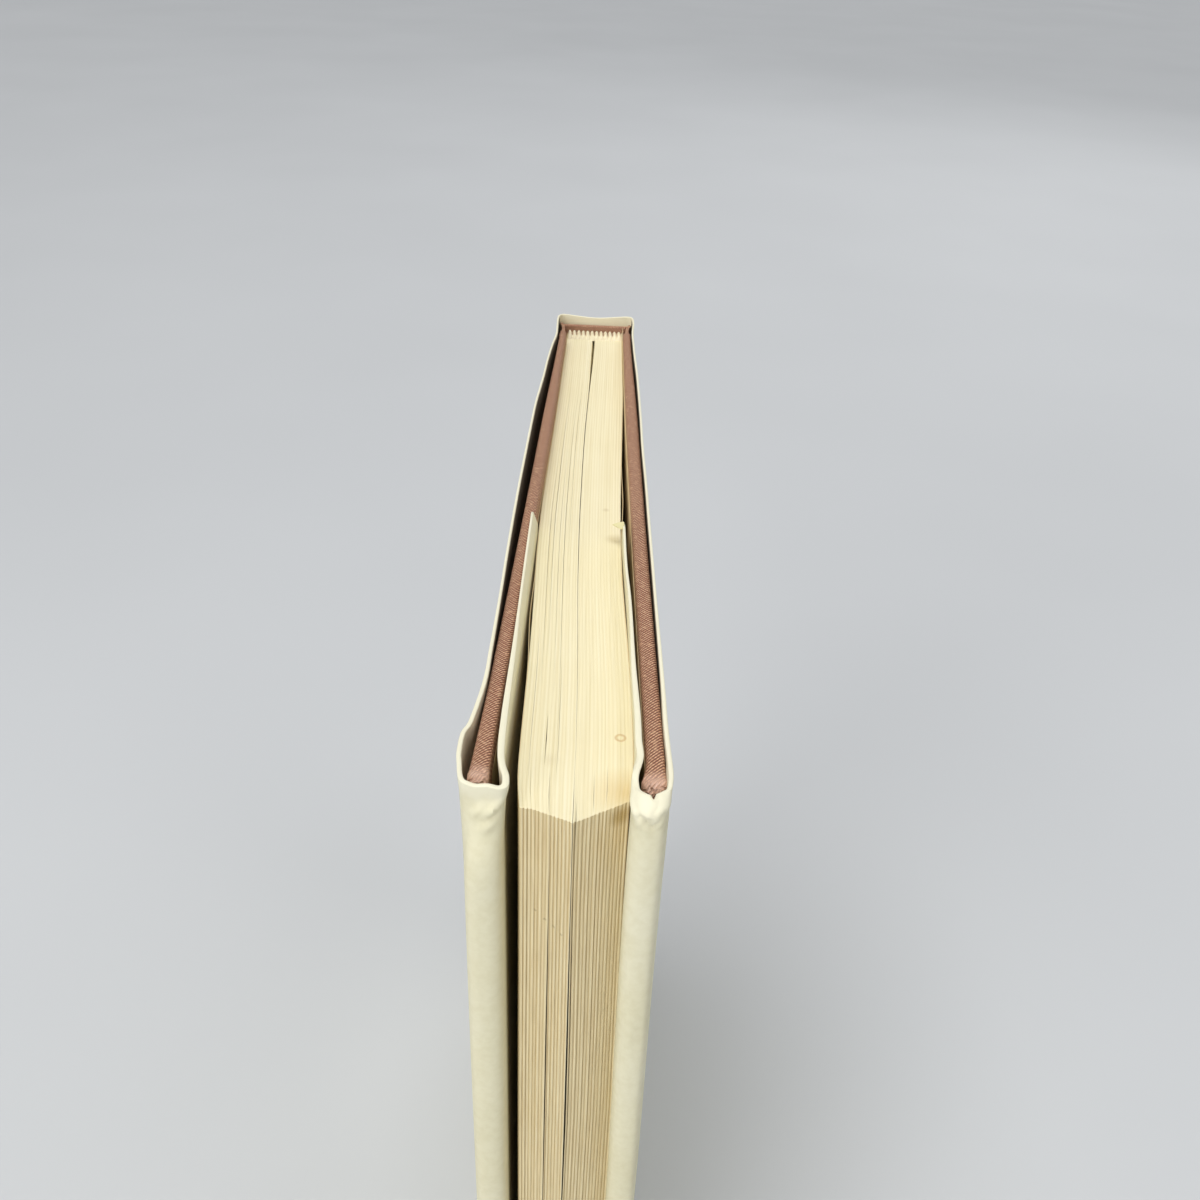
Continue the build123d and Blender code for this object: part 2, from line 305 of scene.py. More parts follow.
def surface(tree, shader, base, height, depth, strength=0.5, before=None):
    """Give a shader its colour and the bump of a height, depth metres deep, over an earlier bump if any."""
    tree.links.new(base, shader.inputs["Base Color"])
    node = add(tree, "Bump", {"Strength": strength, "Distance": depth}, {"Height": height})
    if before is not None:
        tree.links.new(before, node.inputs["Normal"])
    tree.links.new(node.outputs["Normal"], shader.inputs["Normal"])


def spot(tree, middle, reach, soft):
    """A mask: 1 within reach millimetres of a point of the book, falling to 0 over soft millimetres."""
    place = add(tree, "TexCoord").outputs["Object"]
    point = tuple(to_frame @ Vector(middle))
    away = add(tree, "VectorMath", {1: point}, {0: place}, operation="DISTANCE").outputs["Value"]
    fade = add(tree, "MapRange", {"From Min": (reach + soft) * MM, "From Max": reach * MM}, {"Value": away})
    return fade.outputs["Result"]


def spotted(tree, base, spots):
    """Lay round spots on a colour, both stains and painted shadow: each is (middle, reach, soft edge,
    strength, tint).
    """
    for middle, reach, soft, strength, tint in spots:
        base = tinted(tree, base, tint, spot(tree, middle, reach, soft), strength)
    return base


def plain_stock(name, roughness, specular, stops, depth, strength, tone, fibre=None):
    """A material without a pattern: its colour follows the tone and its relief the fibre, or the tone again.

    Tone and fibre are what book_noise takes after the tree."""
    material, tree, shader = new_material(name, roughness, specular)
    shade = book_noise(tree, *tone)
    height = book_noise(tree, *fibre) if fibre else shade
    surface(tree, shader, ramp(tree, shade, stops), height, depth, strength)
    return material


def head_trim_paper():
    """Book paper, guillotined across the head: leaf edges lie as fine streaks, aged to a warm cream."""
    material, tree, shader = new_material("book paper, trimmed head", 0.85, 0.2)
    # Leaf tone: random tone, plus painted shade that darkens the leaves at the edges of each half section
    base = ramp(tree, painted(tree, "tone"),
                [(0.0, "#E6DBB3"), (0.35, "#F0E6C2"), (0.7, "#F5ECCA"), (1.0, "#F7EFD1")])
    streaks = book_noise(tree, 1.0, 4.0, stretch=(4.0, 0.03, 0.2))
    streak_tone = ramp(tree, streaks, [(0.35, "#D6CAA0"), (0.55, "#FFFFFF")])
    base = blend_colour(tree, 0.18, base, streak_tone, "MULTIPLY")
    base = tinted(tree, base, "#E3D4A0", book_noise(tree, 0.05, 2.0), 0.2, "MULTIPLY")
    # A faint brown ring, left by a drop, smudges, and a painted shadow under the torn chip
    drop = (6.52, 14.2, leaf_top)
    ring = math_node(tree, "SUBTRACT", spot(tree, drop, 0.75, 0.2), spot(tree, drop, 0.3, 0.3), True)
    base = tinted(tree, base, "#C9A266", ring, 0.55)
    base = spotted(tree, base, (
        ((3.8, 81.0, leaf_top), 0.15, 0.7, 0.45, "#CDBB90"),
        # Painted shadow on the leaves under the torn chip
        ((5.6, 70.1, leaf_top), 0.5, 1.6, 0.35, "#C7B27C"),
        ((7.2, 3.0, leaf_top), 0.4, 5.0, 0.5, "#DDBB74"),
        ((-3.3, 9.0, leaf_top), 0.2, 1.5, 0.2, "#CDBB90")))
    surface(tree, shader, base, book_noise(tree, 1.0, stretch=(6.0, 0.5, 1.0)), 0.00004, 0.6)
    return material


def fore_edge_paper():
    """Book paper at the fore-edge: round half sections in light and tan lines, the tan lines partly painted
    shade in the recesses between sections, browned by air and hands.
    """
    material, tree, shader = new_material("book paper, trimmed fore-edge", 0.9, 0.15)
    # Leaf tone: random tone, plus painted shade that darkens the drawn-back leaves at the edges of each half
    # section
    base = ramp(tree, painted(tree, "tone"),
                [(0.0, "#C6AD82"), (0.3, "#DAC69C"), (0.6, "#EBDCB3"), (1.0, "#F8EECB")])
    grain = book_noise(tree, 1.0, 4.0, stretch=(5.0, 5.0, 0.12))
    grain_tone = ramp(tree, grain, [(0.3, "#B7A27A"), (0.6, "#FFFFFF")])
    base = blend_colour(tree, 0.3, base, grain_tone, "MULTIPLY")
    cloudy = book_noise(tree, 0.14, 2.0, stretch=(1.0, 1.0, 0.4))
    base = tinted(tree, base, "#E6CC98", cloudy, 0.25, "MULTIPLY")
    # A yellow-brown stain under the head corner, and a line of specks
    base = spotted(tree, base, (
        ((6.6, 0.9, 255.5), 0.6, 1.6, 0.6, "#A8863E"),
        ((7.6, 1.4, 252.0), 0.3, 6.0, 0.2, "#E4C37C"),
        ((-4.6, -0.9, 238.2), 0.1, 0.22, 0.5, "#8C7A5A"),
        ((-3.2, -1.5, 237.0), 0.08, 0.25, 0.5, "#8C7A5A"),
        ((-1.9, -2.0, 236.1), 0.08, 0.25, 0.5, "#8C7A5A"),
        ((-0.8, -2.4, 235.0), 0.1, 0.22, 0.5, "#8C7A5A")))
    surface(tree, shader, base, grain, 0.00005)
    return material


def jacket_stock(name, torn=False):
    """Jacket: heavy cream wove paper, uncoated, with yellowed patches and a felt finish; unless torn,
    painted light makes its head rim pale and painted shade darkens the inside of the panels.
    """
    material, tree, shader = new_material(name, 0.62, 0.35)
    cloudy = book_noise(tree, 0.03, 4.0)
    base = ramp(tree, cloudy, [(0.3, "#E6DFBC"), (0.55, "#EBE5C6"), (0.75, "#EFEACF")])
    fine_tone = ramp(tree, book_noise(tree, 0.7, 5.0), [(0.35, "#CFC59A"), (0.6, "#FFFFFF")])
    base = blend_colour(tree, 0.12, base, fine_tone, "MULTIPLY")
    if torn:
        base = blend_colour(tree, 0.8, base, "#E3D9A2")
    else:
        # Painted light: the top few millimetres of the paper, up to the head rim, are made paler as though
        # lit from above
        base = tinted(tree, base, "#F4EFD6", painted(tree, "rim"), 0.7)
        # Painted shade: the inside of the panels is darkened where it faces the board's cloth across a
        # narrow gap, below the rim and back from the fore-edge
        base = tinted(tree, base, "#4A4036", painted(tree, "painted_gap_shade"), 0.85)
    felt = add(tree, "Bump", {"Strength": 0.35, "Distance": 0.00005}, {"Height": book_noise(tree, 1.6, 5.0)})
    waves = book_noise(tree, 0.045, 2.0)
    surface(tree, shader, base, waves, 0.0012, 0.35, felt.outputs["Normal"])
    return material


def book_cloth():
    """Book cloth: starched cotton in rose-brown, a diagonal rib of lighter threads over darker filling.

    Its ribs are 0.4 mm apart across their slant, as counted along the head edge."""
    material, tree, shader = new_material("rose-brown book cloth, cotton", 0.55, 0.45)
    turned = sheet_millimetres(tree, math.radians(-45))
    split = add(tree, "SeparateXYZ", links={"Vector": turned})
    pitch = 0.405

    def ridges(axis, spacing):
        """Even ridges across one axis, from 0 to 1."""
        turns = math_node(tree, "MULTIPLY", split.outputs[axis], 2 * math.pi / spacing)
        wave = math_node(tree, "SINE", turns)
        return math_node(tree, "ADD", math_node(tree, "MULTIPLY", wave, 0.5), 0.5)

    rib = ridges("Y", pitch)
    knot = ridges("X", 1.6 * pitch)
    uneven = noise(tree, sheet_millimetres(tree), 1.3)
    crossing = math_node(tree, "ADD", math_node(tree, "MULTIPLY", knot, 0.38), 0.62)
    height = math_node(tree, "MULTIPLY", rib, crossing)
    height = math_node(tree, "MULTIPLY", height, math_node(tree, "ADD", uneven, 0.5))
    base = ramp(tree, height, [(0.0, "#6B4534"), (0.3, "#9A684F"), (0.6, "#C08E70"), (1.0, "#F2CDA9")])
    base = tinted(tree, base, "#B98F74", noise(tree, sheet_millimetres(tree), 0.08), 0.2, "MULTIPLY")
    speckle = noise(tree, sheet_millimetres(tree), 1.1, 2.0)
    flecks = ramp(tree, speckle, [(0.55, "#000000"), (0.72, "#FFFFFF")])
    base = tinted(tree, base, "#EBC09A", flecks, 0.45)
    # Rubbed places at the head corner are paler and smoother; the paleness is partly real wear and partly
    # painted highlight on the lumps
    wear_and_highlight = painted(tree, "wear_and_highlight")
    base = tinted(tree, base, "#E3BBA4", wear_and_highlight, 0.7)
    polish = add(tree, "MapRange", {"To Min": 0.55, "To Max": 0.3}, {"Value": wear_and_highlight})
    tree.links.new(polish.outputs["Result"], shader.inputs["Roughness"])
    surface(tree, shader, base, height, 0.00012, 0.9)
    return material


def band_thread():
    """Head band: mercerised cotton thread sewn over a cord, cream, with fine plies in each stitch."""
    material, tree, shader = new_material("cream cotton band thread", 0.5, 0.4)
    plies = book_noise(tree, 1.0, stretch=(9.0, 1.0, 1.0))
    base = ramp(tree, plies, [(0.3, "#DCCBA4"), (0.6, "#F3EACC")])
    base = blend_colour(tree, painted(tree, "between"), base, "#9A6A55")
    surface(tree, shader, base, plies, 0.00006, 0.7)
    return material


def open_gauze():
    """Mull: open starched gauze, seen as a pale square grid of threads."""
    material, tree, shader = new_material("starched mull gauze", 0.8, 0.2)
    across, upright = (add(tree, "TexWave", {"Scale": 0.3, "Distortion": 0.6, "Detail": 2.0},
                           {"Vector": in_millimetres(tree)}, bands_direction=direction).outputs["Fac"]
                       for direction in ("X", "Z"))
    threads = math_node(tree, "MAXIMUM", across, upright)
    base = ramp(tree, threads, [(0.4, "#9B917C"), (0.8, "#D9D3C2")])
    surface(tree, shader, base, threads, 0.00012, 0.8)
    return material


def studio_floor():
    """A matt pale paper sweep."""
    material, tree, shader = new_material("pale studio sweep", 0.9, 0.1)
    soft_tone = noise(tree, add(tree, "TexCoord").outputs["Object"], 3.0, 2.0)
    tree.links.new(ramp(tree, soft_tone, [(0.2, "#C6C8CA"), (0.8, "#CBCDCF")]), shader.inputs["Base Color"])
    return material


head_paper = head_trim_paper()
fore_paper = fore_edge_paper()
jacket_finish = jacket_stock("cream wove jacket paper")
chip_finish = jacket_stock("cream wove jacket paper, torn and yellowed", True)
cloth_finish = book_cloth()
thread_finish = band_thread()
gauze_finish = open_gauze()
# The flat side of a leaf: smooth uncoated book paper with a faint fibre
face_paper = plain_stock("book paper, leaf face", 0.85, 0.2, [(0.3, "#E6DAB2"), (0.7, "#EFE5C2")],
                         0.00002, 0.5, tone=(0.4, 4.0), fibre=(4.0,))
# A thicker uncoated sheet, toned tan, with a fibre that catches the light
endpaper = plain_stock("endpaper, uncoated tan", 0.85, 0.2, [(0.3, "#D2B98A"), (0.7, "#DECAA0")],
                       0.00003, 0.6, tone=(0.15, 4.0), fibre=(3.0, 4.0, 0.55, (1.0, 1.0, 0.5)))
# Grey pulp with dark and pale flecks
board_finish = plain_stock("grey binder's board", 0.95, 0.1, [(0.35, "#6F6A62"), (0.6, "#8F8A80")],
                           0.0001, 0.5, tone=(1.5, 6.0, 0.7))
# Brown paper with long fibres
kraft_finish = plain_stock("brown kraft lining", 0.8, 0.2, [(0.3, "#94724C"), (0.7, "#B08D62")],
                           0.00005, 0.5, tone=(1.2, 5.0, 0.55, (1.0, 1.0, 0.15)))


# Making pieces

def make_piece(name, mesh_data, finishes, body=None, nodes=(), sharp_over=38):
    """Move a bmesh from the book's millimetres into the frame and make it a piece."""
    bmesh.ops.transform(mesh_data, matrix=to_frame, verts=mesh_data.verts)
    mesh = bpy.data.meshes.new(name)
    mesh_data.to_mesh(mesh)
    mesh_data.free()
    for finish in finishes:
        mesh.materials.append(finish)
    mesh.shade_smooth()
    mesh.set_sharp_from_angle(angle=math.radians(sharp_over))
    obj = bpy.data.objects.new(name, mesh)
    bpy.context.scene.collection.objects.link(obj)
    if body:
        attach(obj, body)
    if nodes:
        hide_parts(*nodes)
    return obj


def grid(columns, rows, layers=()):
    """A flat grid with number layers, and its vertices listed as (vertex, column, row)."""
    data = bmesh.new()
    for layer in layers:
        data.verts.layers.float.new(layer)
    bmesh.ops.create_grid(data, x_segments=columns, y_segments=rows, size=0.5)
    places = [(v, round((v.co.x + 0.5) * columns), round((v.co.y + 0.5) * rows)) for v in data.verts]
    return data, places


def box(data, low, high):
    """Add a box between two corners."""
    for vertex in bmesh.ops.create_cube(data, size=1.0)["verts"]:
        vertex.co = [mix(start, end, share + 0.5) for start, end, share in zip(low, high, vertex.co)]


def round_edges(data, edges, radius, segments=2):
    """Round some edges over."""
    bmesh.ops.bevel(data, geom=edges, offset=radius, segments=segments, profile=0.5, affect="EDGES",
                    material=-1)


def give_thickness(data, thickness, rounded=0.0):
    """Turn an open sheet into a closed one, with half the thickness on each side and rounded edges."""
    bmesh.ops.recalc_face_normals(data, faces=data.faces)
    for vertex in data.verts:
        vertex.normal_update()
    for vertex in data.verts:
        vertex.co += vertex.normal * thickness / 2
    bmesh.ops.solidify(data, geom=data.faces[:], thickness=thickness)
    bmesh.ops.recalc_face_normals(data, faces=data.faces)
    if rounded:
        sharp = [e for e in data.edges if len(e.link_faces) == 2 and e.calc_face_angle() > 1.0]
        round_edges(data, sharp, rounded)


def grow_inward(data, thickness):
    """Give an open shell thickness behind its outer face, which stays where it is."""
    bmesh.ops.recalc_face_normals(data, faces=data.faces)
    data.normal_update()
    highest = max(data.faces, key=lambda face: face.calc_center_median().z)
    if highest.normal.z < 0:
        bmesh.ops.reverse_faces(data, faces=data.faces)
        data.normal_update()
    bmesh.ops.solidify(data, geom=data.faces[:], thickness=thickness)
    bmesh.ops.recalc_face_normals(data, faces=data.faces)


def spaced(knots, longest, fewest=2, most=10):
    """Places from the first knot to the last, close together where the knots are."""
    places = []
    for start, end in zip(knots, knots[1:]):
        count = min(most, max(fewest, math.ceil((end - start) / longest)))
        places += [mix(start, end, step / count) for step in range(count)]
    return places + [knots[-1]]


# The leaves

# Places where the leaves gape: (leaf, middle along Y, reach, width, middle up Z, reach)
gapes = [
    (68, 168.0, 36.0, 0.8, leaf_top, 1.5),
    (68, 128.0, 34.0, 0.12, leaf_top, 40.0),
    (68, 90.0, 55.0, 0.13, leaf_top, 60.0),
    (68, 40.0, 50.0, 0.05, leaf_top, 40.0),
    (68, 0.0, 9.0, 0.10, 190.0, 200.0),
    (68, 0.0, 9.0, 0.22, 190.0, 60.0),
    (68, 0.0, 9.0, 0.16, 60.0, 90.0),
    (70, 0.0, 7.0, 0.10, 215.0, 60.0),
    (71, 1.3, 2.6, 0.20, leaf_top, 5.0),
    (39, 0.0, 7.0, 0.14, 205.0, 55.0),
    (39, 0.0, 7.0, 0.10, 150.0, 150.0),
    (41, 0.0, 7.0, 0.06, 170.0, 70.0),
    (31, 14.2, 5.0, 0.12, leaf_top, 8.0),
    (15, 4.8, 2.5, 0.06, leaf_top, 3.0),
    (38, 3.9, 3.0, 0.06, leaf_top, 4.0),
    (46, 20.0, 18.0, 0.05, leaf_top, 3.0),
    (92, 4.3, 2.6, 0.06, leaf_top, 3.0),
    (108, 4.4, 2.0, 0.07, leaf_top, 3.0),
    (12, 24.0, 26.0, 0.05, leaf_top, 3.0),
    (19, 70.0, 60.0, 0.06, leaf_top, 3.0),
    (26, 90.0, 70.0, 0.08, leaf_top, 3.0),
    (36, 70.0, 60.0, 0.05, leaf_top, 3.0),
    (44, 80.0, 80.0, 0.07, leaf_top, 3.0),
    (52, 110.0, 60.0, 0.05, leaf_top, 3.0),
]
section_gap = 0.014


def gap_after(leaf, y, z):
    """The air after a leaf, at a place."""
    air = 0.0
    if leaf % (2 * leaves_in_strip) == 0:
        air += section_gap * bump(y, 0, 40) * smooth((leaf_top - z) / 6.0)
    for at_leaf, y_middle, y_reach, width, z_middle, z_reach in gapes:
        if leaf == at_leaf:
            air += width * bump(y, y_middle, y_reach) * bump(z, z_middle, z_reach)
    return air


def leaf_stack():
    """All the leaves: each is a thin bowed slab with its own height, fore-edge and tone, the tone with
    painted shade on the drawn-back leaves between sections.
    """
    long_steps, high_steps = 22, 12
    y_shares = [(step / long_steps) ** 1.25 for step in range(long_steps + 1)]
    z_shares = [1 - (1 - step / high_steps) ** 2.4 for step in range(high_steps + 1)]
    gaping = sorted({g[0] for g in gapes} | {n for n in range(0, leaf_count, 2 * leaves_in_strip) if n})
    plain = bmesh.new()
    bmesh.ops.create_cube(plain, size=1.0)
    cut_across(plain, 1, [step / long_steps - 0.5 for step in range(1, long_steps)])
    cut_across(plain, 2, [step / high_steps - 0.5 for step in range(1, high_steps)])
    slab = bpy.data.meshes.new("plain leaf")
    plain.to_mesh(slab)
    plain.free()
    data = bmesh.new()
    leaf_tone_and_shade_layer = data.verts.layers.float.new("tone")
    fronts, backs, airs = {}, {}, {}
    places = {}
    for row, z_share in enumerate(z_shares):
        for column, y_share in enumerate(y_shares):
            y = leaf_width * y_share
            z = mix(leaf_bottom, leaf_top, z_share)
            sway = 0.10 * math.sin(z / 31.0 + 0.7) * (1 - y_share) ** 2 - 0.5 * bump(y, 117, 55)
            fronts[column, row] = -block_half(-1, y, z)
            backs[column, row] = block_half(1, y, z)
            running, total = [], 0.0
            for leaf in gaping:
                total += gap_after(leaf, y, z)
                running.append((leaf, total))
            airs[column, row] = (running, total)
            places[column, row] = (y_share, z_share, sway)

    def boundary(number, column, row, after_gap):
        """X of the surface between two leaves, before or after the air there."""
        running, total = airs[column, row]
        span = backs[column, row] - fronts[column, row] - total
        air = 0.0
        for leaf, sum_so_far in running:
            if leaf < number or (leaf == number and after_gap):
                air = sum_so_far
        share = number / leaf_count
        sway = places[column, row][2] * 4 * share * (1 - share)
        return fronts[column, row] + span * share + air + sway

    for leaf in range(leaf_count):
        strip, inside_strip = divmod(leaf, leaves_in_strip)
        across = (inside_strip + 0.5) / leaves_in_strip
        rounded = math.sin(math.pi * across)
        # Tone of a leaf: random, alternating from strip to strip, and lower on the drawn-back leaves at the
        # edges of a half section, which is painted shade in the recesses between sections
        light = 0.12 + 0.72 * rounded + 0.10 * (strip % 2) + random.uniform(-0.12, 0.10)
        draw_back = 0.16 * (1 - rounded) - 0.05 * (strip % 2) + random.uniform(-0.04, 0.04)
        height = random.uniform(-0.03, 0.02) - 0.02 * (1 - rounded)
        share = (leaf + 0.5) / leaf_count
        fore = straight(chevron, mix(-6.9, 7.7, share)) + draw_back
        data.from_mesh(slab)
        data.verts.ensure_lookup_table()
        for vertex in data.verts[-len(slab.vertices):]:
            column = round((vertex.co.y + 0.5) * long_steps)
            row = round((vertex.co.z + 0.5) * high_steps)
            number = leaf + (1 if vertex.co.x > 0 else 0)
            y_share, z_share, sway = places[column, row]
            vertex.co.x = boundary(number, column, row, vertex.co.x < 0)
            vertex.co.y = mix(fore, leaf_width, y_share)
            vertex.co.z = mix(leaf_bottom, leaf_top + height, z_share)
            vertex[leaf_tone_and_shade_layer] = clamp(light)
    data.normal_update()
    for face in data.faces:
        if abs(face.normal.z) > 0.7:
            face.material_index = 1
        elif face.normal.y < -0.35 and face.calc_center_median().y < 6:
            face.material_index = 2
    return make_piece("leaves", data, [face_paper, head_paper, fore_paper], "block_and_spine",
                      ["text_block"], 30)


# Bands, linings and endpapers

def end_band(name, node, edge, up):
    """A band of twelve thread stitches over a cord, on a tape that is glued down the back."""
    stitches = 12
    half = 7.05
    pitch = 2 * half / stitches
    per_stitch = 10
    # The bead in section: (distance in front of the block's back, height over the leaves)
    section = [(4.5, -0.25), (4.2, 0.12), (3.6, 0.55), (3.0, 0.88), (2.3, 1.02), (1.5, 1.06), (0.7, 1.0),
               (0.2, 0.6), (0.05, -0.25)]
    rows = 21
    forward_curve, height_curve = curves(even_steps(section), section)
    data, places = grid(stitches * per_stitch, rows, ["between"])
    between_layer = data.verts.layers.float["between"]
    for vertex, column, row in places:
        along = row / rows
        forward = through(forward_curve, along)
        height = through(height_curve, along)
        phase = (column / per_stitch + 0.25 * along) % 1.0
        tooth = math.sin(math.pi * phase) ** 0.8
        on_top = smooth((along - 0.28) / 0.2)
        lift = mix(mix(0.85, 0.2, on_top), 1.2, tooth)
        vertex[between_layer] = smooth(1.4 - 2.4 * tooth) * on_top
        vertex.co = (-half + column * pitch / per_stitch, leaf_width - forward - 0.25 * tooth,
                     edge + up * (max(0.0, height) * lift + min(0.0, height)))
    bmesh.ops.holes_fill(data, edges=[e for e in data.edges if e.is_boundary], sides=0)
    # The tape that the stitches are sewn to
    tape_low, tape_high = sorted((edge - up * 12.0, edge + up * 0.2))
    box(data, (-half, leaf_width + 0.01, tape_low), (half, leaf_width + 0.19, tape_high))
    bmesh.ops.recalc_face_normals(data, faces=data.faces)
    return make_piece(name, data, [thread_finish], "block_and_spine", [node], 60)


def free_endleaf(cover, gape_middle, gape_reach, gape_width):
    """The loose half of an endpaper: it lies on the leaves and gapes near the head at one place."""
    y_places = spaced([1.0, 10.0, 30.0, 60.0, 90.0, 130.0, leaf_width - 0.8], 2.5, most=12)
    z_places = spaced([leaf_bottom, 60.0, 150.0, 220.0, leaf_top], 9.0)
    data, places = grid(len(y_places) - 1, len(z_places) - 1)
    for vertex, column, row in places:
        y, z = y_places[column], z_places[row]
        gape = 0.05 + gape_width * bump(y, gape_middle, gape_reach) * bump(z, leaf_top, 120)
        ripple = 0.02 * math.sin(y / 5.0 + z / 23.0) * bump(y, gape_middle, gape_reach)
        vertex.co = (cover.side * (block_half(cover.side, y, z) + gape + ripple), y, z)
    give_thickness(data, endpaper_sheet)
    return make_piece(cover.name + "_endleaf", data, [endpaper], "block_and_spine",
                      [cover.name + "_free_endpaper"])


def blend_at_hinge(obj, cover):
    """Bend a piece from the spine to its cover at the joint's upright line."""
    reach = 1.3
    start, end = (to_frame @ Vector((cover.side * hinge_x, hinge_y + along, leaf_top / 2))
                  for along in (reach, -reach))
    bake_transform(obj, "block_and_spine", cover.name + "_cover", tuple(start), tuple(end))


def pasted_endpaper(cover):
    """The pasted half: it steps from the turned-in cloth down onto the board and bridges the joint."""
    y_places = spaced([2.9, 14.0, 16.0, 150.0, 166.0, 168.6, 171.5, 174.5, leaf_width - 0.5], 8.0, 2, 10)
    margin = 3.4 if cover.side < 0 else 1.6
    z_places = spaced([margin, 14.6, 16.0, 245.0, 246.6, board_top - margin], 8.0, 2, 12)
    data, places = grid(len(y_places) - 1, len(z_places) - 1)
    for vertex, column, row in places:
        y, z = y_places[column], z_places[row]
        inside = smooth((y - 14.0) / 1.2) * smooth((z - 14.6) / 1.2) * smooth((246.4 - z) / 1.2)
        depth = cloth * inside * smooth((board_spine_edge + 1 - y) / 1.5) - endpaper_sheet / 2
        gutter = smooth((y - 168.6) / 6.0)
        gutter_x = cover.side * (block_half(cover.side, y, z) + 0.2)
        vertex.co = (mix(cover.x(depth, y), gutter_x, gutter), y, z)
    give_thickness(data, endpaper_sheet)
    obj = make_piece(cover.name + "_paste_sheet", data, [endpaper], None,
                     [cover.name + "_pastedown"])
    blend_at_hinge(obj, cover)
    return obj


# The case: boards and cloth

def board_slab(data, cover, inset):
    """A box round a cover's board, inset millimetres inside the cloth's outer face, before it is bowed."""
    box(data, (inset, inset - fore_square, inset),
        (cover.thickness - inset, board_spine_edge, board_top - 2 * inset))


def cut_across(data, axis, places):
    """Cut the whole mesh by planes square to an axis."""
    normal = Vector([1.0 if index == axis else 0.0 for index in range(3)])
    for place in places:
        everything = data.verts[:] + data.edges[:] + data.faces[:]
        bmesh.ops.bisect_plane(data, geom=everything, dist=1e-5, plane_co=normal * place, plane_no=normal)


def bow(data, cover):
    """Move a straight cover piece, whose X is the depth from the cloth's inner face, to where it stands."""
    for vertex in data.verts:
        vertex.co.x = cover.x(vertex.co.x, vertex.co.y)


def knock_corner(co, cover):
    """A board's head corner is knocked round: it stands back there, and its end is narrower."""
    back = smooth((co.z - board_top + 5.0) / 4.6) * smooth((4.0 - co.y) / 4.6)
    centre = cover.thickness / 2
    co.x = centre + (co.x - centre) * (1 - 0.3 * back * smooth((0.9 - co.y) / 1.5))
    co.y += 1.1 * back


def stiff_board(cover):
    """The grey board inside the cloth, bowed as the cover is."""
    data = bmesh.new()
    board_slab(data, cover, 0.5)
    round_edges(data, data.edges[:], 0.5)
    cut_across(data, 1, range(12, 168, 12))
    for vertex in data.verts:
        knock_corner(vertex.co, cover)
    bow(data, cover)
    bmesh.ops.recalc_face_normals(data, faces=data.faces)
    return make_piece(cover.name + "_grey_board", data, [board_finish], cover.name + "_cover",
                      [cover.name + "_board"])


def lay_flat(data, mirror=1):
    """Give a cloth piece a flat map in metres: along Y, and up over the edges by height or depth."""
    sheet = data.loops.layers.uv.new("Sheet")
    for face in data.faces:
        turned_over = abs(face.normal.z) > 0.6
        for loop in face.loops:
            co = loop.vert.co
            if turned_over:
                loop[sheet].uv = (co.y * MM, mirror * co.x * MM)
            elif abs(face.normal.y) > 0.6:
                loop[sheet].uv = (co.x * MM, co.z * MM)
            else:
                loop[sheet].uv = (co.y * MM, co.z * MM)


def cloth_wrap(cover):
    """Cloth over a board: round edges, turned in on the inside, with folded lumps at the head corner."""
    data = bmesh.new()
    board_slab(data, cover, 0.0)
    spine_side = board_spine_edge - 0.01
    rounded = [e for e in data.edges if not all(v.co.y > spine_side for v in e.verts)]
    round_edges(data, rounded, board_round, 5)
    fine_head = [y * 0.5 for y in range(0, 9)] + [y * 1.5 for y in range(3, 10)]
    cut_across(data, 1, fine_head + [turn_in - fore_square] + list(range(20, 168, 6)))
    cut_across(data, 2, [2, 6, 10, turn_in, 40, 80, 120, 160, 200, 230, board_top - turn_in,
                         250, 254, 256, 257.5, 258.5, 259.3, 260])
    window = [f for f in data.faces if f.calc_center_median().x < 0.01
              and f.calc_center_median().y > turn_in - fore_square
              and turn_in < f.calc_center_median().z < board_top - turn_in]
    spine_face = [f for f in data.faces if f.calc_center_median().y > spine_side and abs(f.normal.y) > 0.9]
    bmesh.ops.delete(data, geom=window + spine_face, context="FACES")
    loose = [v for v in data.verts if not v.link_faces]
    bmesh.ops.delete(data, geom=loose, context="VERTS")
    wear_and_highlight_layer = data.verts.layers.float.new("wear_and_highlight")
    for vertex in data.verts:
        co = vertex.co
        corner = bump(co.y, 0.0, 4.4) * bump(co.z, board_top - 0.4, 2.6)
        # The folded corner is thicker, and pulled down and back a little
        centre = cover.thickness / 2
        swell = 0.14 * bump(co.y, -0.6, 17.0) * smooth((co.z - 225) / 30) if cover.side < 0 else 0.0
        if cover.side > 0 and co.x < centre:
            swell = 0.50 * bump(co.y, 0.6, 6.0) * smooth((co.z - 250) / 8)
        co.x = centre + (co.x - centre) * (1 + swell + 0.12 * corner)
        co.z -= 0.35 * bump(co.y, -0.9, 2.0) * smooth((co.z - board_top + 3) / 3)
        pleat = 0.30 * math.sin((0.7 * co.x + 0.9 * co.z + 0.5 * co.y) * 4.4)
        co.y += pleat * corner
        co.z += 0.26 * math.sin((co.y - 0.4 * co.x) * 3.4) * corner
        # Paler, smoother head corner: partly real wear, partly painted highlight on the folded lumps
        vertex[wear_and_highlight_layer] = bump(co.y, 0.4, 4.2) * bump(co.z, board_top - 0.2, 2.8)
        knock_corner(co, cover)
    data.normal_update()
    lay_flat(data, cover.side)
    bow(data, cover)
    grow_inward(data, cloth)
    return make_piece(cover.name + "_cloth_wrap", data, [cloth_finish], cover.name + "_cover",
                      [cover.name + "_cloth"])


